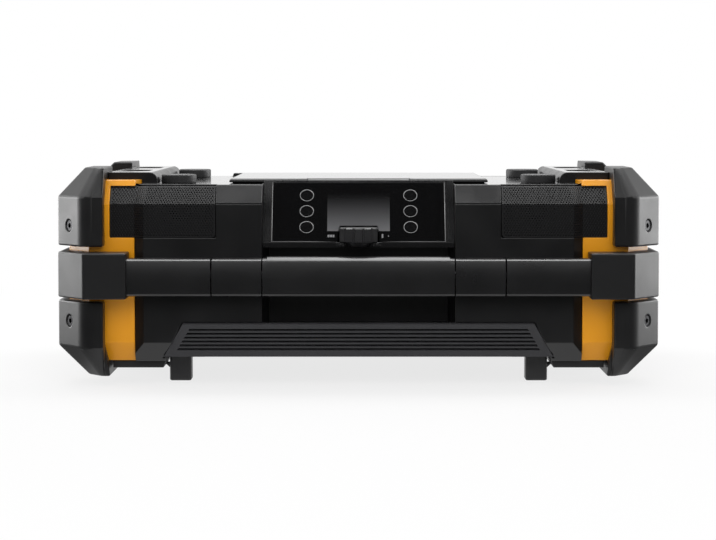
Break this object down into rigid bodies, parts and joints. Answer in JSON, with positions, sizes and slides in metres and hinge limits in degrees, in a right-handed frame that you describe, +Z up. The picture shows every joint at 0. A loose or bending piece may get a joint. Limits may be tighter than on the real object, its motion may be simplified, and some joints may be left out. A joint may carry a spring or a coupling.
{
  "type": "jobsite radio",
  "caption": "Stackable jobsite radio with cushioned corners, orange corner frames, front handle bar, tilted control panel with thumb dial, storage lid and battery bay.",
  "frame": {"origin": "middle of the box on the plane the feet stand on", "axes": "+X right along the front handle bar, +Y to the rear (the front and its controls face -Y), +Z up"},
  "size_m": [0.44, 0.331, 0.16],
  "materials": {
    "housing_black": "fine moulded texture, black ABS",
    "lid_black": "fine moulded texture, black",
    "vent_grey": "fine moulded texture, dark grey",
    "frame_orange": "satin moulded orange-yellow",
    "bumper_rubber": "soft-touch overmould, dark grey",
    "rail_grey": "fine moulded texture, dark grey",
    "grip_rubber": "soft-touch grip",
    "sleeve_black": "satin black",
    "steel": "plain turned steel",
    "grille_mesh": "perforated sheet, satin black",
    "speaker_frame": "black coated steel",
    "speaker_cone": "treated paper cone, dark",
    "foot_black": "firm moulded rubber",
    "screw_black": "black oxide on steel",
    "panel_grey": "satin bezel",
    "panel_gloss": "polished overlay",
    "window_clear": "clear display pane",
    "screen_dark": "unlit display",
    "button_gloss": "polished caps with a printed ring",
    "knob_black": "satin fluted dial",
    "encoder_metal": "machined",
    "board_green": "solder mask green",
    "gasket_rubber": "soft black rubber",
    "port_plastic": "black plastic",
    "contact_brass": "plated contacts",
    "antenna_chrome": "polished telescopic tube"
  },
  "bodies": {
    "case": {"ac_inlet": "port_plastic", "battery_bay": "housing_black", "battery_terminals": "contact_brass", "bumper_front_left": "bumper_rubber", "bumper_front_right": "bumper_rubber", "bumper_rear_left": "bumper_rubber", "bumper_rear_right": "bumper_rubber", "case_screws": "screw_black", "control_board": "board_green", "control_panel": "panel_grey", "corner_frame_front_left": "frame_orange", "corner_frame_front_right": "frame_orange", "corner_frame_rear_left": "frame_orange", "corner_frame_rear_right": "frame_orange", "display_module": "screen_dark", "display_window": "window_clear", "driver_baskets": "speaker_frame", "driver_cones": "speaker_cone", "encoder": "encoder_metal", "feet": "foot_black", "handle_core": "screw_black", "handle_grip": "grip_rubber", "handle_sleeves": "sleeve_black", "hinge_pins": "steel", "lid_gasket": "gasket_rubber", "lower_housing": "housing_black", "main_board": "board_green", "panel_glass": "panel_gloss", "port_panel": "port_plastic", "power_supply": "board_green", "side_rail_left": "rail_grey", "side_rail_right": "rail_grey", "speaker_grille_front_left": "grille_mesh", "speaker_grille_front_right": "grille_mesh", "speaker_grille_rear_left": "grille_mesh", "speaker_grille_rear_right": "grille_mesh", "stacking_pucks": "foot_black", "storage_tray": "housing_black", "top_cover": "housing_black", "vent_panel": "vent_grey", "woofer_baskets": "speaker_frame", "woofer_cones": "speaker_cone"},
    "knob": {"knob": "knob_black"},
    "storage_lid": {"storage_lid": "lid_black"},
    "lid_latch": {"lid_latch": "lid_black"},
    "battery_door": {"battery_door": "housing_black"},
    "door_latch": {"door_latch": "lid_black"},
    "port_cover": {"port_cover": "gasket_rubber"},
    "antenna_mast": {"antenna_mast": "antenna_chrome"},
    "antenna_rod": {"antenna_rod": "antenna_chrome"},
    "side_latch_left": {"side_latch_left": "lid_black"},
    "side_latch_right": {"side_latch_right": "lid_black"},
    "button_1": {"button_1": "button_gloss"},
    "button_2": {"button_2": "button_gloss"},
    "button_3": {"button_3": "button_gloss"},
    "button_4": {"button_4": "button_gloss"},
    "button_5": {"button_5": "button_gloss"},
    "button_6": {"button_6": "button_gloss"}
  },
  "joints": [
    {"name": "knob_turn", "type": "hinge", "parent": "case", "child": "knob", "pos_m": [0, -0.1375, 0.111], "axis": [0, 0, 1], "continuous": true},
    {"name": "lid_hinge", "type": "hinge", "parent": "case", "child": "storage_lid", "pos_m": [0, 0.098, 0.1482], "axis": [-1, 0, 0], "range_deg": [0, 100]},
    {"name": "lid_latch_lift", "type": "hinge", "parent": "storage_lid", "child": "lid_latch", "pos_m": [0, -0.09005, 0.1497], "axis": [-1, 0, 0], "range_deg": [0, 50]},
    {"name": "battery_door_swing", "type": "hinge", "parent": "case", "child": "battery_door", "pos_m": [-0.0775, 0.1415, 0.0705], "axis": [0, 0, 1], "range_deg": [0, 110]},
    {"name": "door_latch_slide", "type": "slide", "parent": "battery_door", "child": "door_latch", "axis": [1, 0, 0], "range_m": [0, 0.004]},
    {"name": "port_cover_flap", "type": "hinge", "parent": "case", "child": "port_cover", "pos_m": [0, 0.0808, 0.1196], "axis": [1, 0, 0], "range_deg": [0, 110]},
    {"name": "antenna_tilt", "type": "hinge", "parent": "case", "child": "antenna_mast", "pos_m": [-0.1, 0.115, 0.1469], "axis": [0, -1, 0], "range_deg": [0, 90]},
    {"name": "antenna_extend", "type": "slide", "parent": "antenna_mast", "child": "antenna_rod", "axis": [1, 0, 0], "range_m": [0, 0.092]},
    {"name": "side_latch_left_swing", "type": "hinge", "parent": "case", "child": "side_latch_left", "pos_m": [-0.206, 0, 0.05], "axis": [0, 1, 0], "range_deg": [0, 95]},
    {"name": "side_latch_right_swing", "type": "hinge", "parent": "case", "child": "side_latch_right", "pos_m": [0.206, 0, 0.05], "axis": [0, -1, 0], "range_deg": [0, 95]},
    {"name": "button_1_press", "type": "slide", "parent": "case", "child": "button_1", "axis": [0, 0.807, -0.5906], "range_m": [0, 0.0008], "stiffness_N_per_m": 900, "springref_m": -0.0004},
    {"name": "button_2_press", "type": "slide", "parent": "case", "child": "button_2", "axis": [0, 0.807, -0.5906], "range_m": [0, 0.0008], "stiffness_N_per_m": 900, "springref_m": -0.0004},
    {"name": "button_3_press", "type": "slide", "parent": "case", "child": "button_3", "axis": [0, 0.807, -0.5906], "range_m": [0, 0.0008], "stiffness_N_per_m": 900, "springref_m": -0.0004},
    {"name": "button_4_press", "type": "slide", "parent": "case", "child": "button_4", "axis": [0, 0.807, -0.5906], "range_m": [0, 0.0008], "stiffness_N_per_m": 900, "springref_m": -0.0004},
    {"name": "button_5_press", "type": "slide", "parent": "case", "child": "button_5", "axis": [0, 0.807, -0.5906], "range_m": [0, 0.0008], "stiffness_N_per_m": 900, "springref_m": -0.0004},
    {"name": "button_6_press", "type": "slide", "parent": "case", "child": "button_6", "axis": [0, 0.807, -0.5906], "range_m": [0, 0.0008], "stiffness_N_per_m": 900, "springref_m": -0.0004}
  ]
}
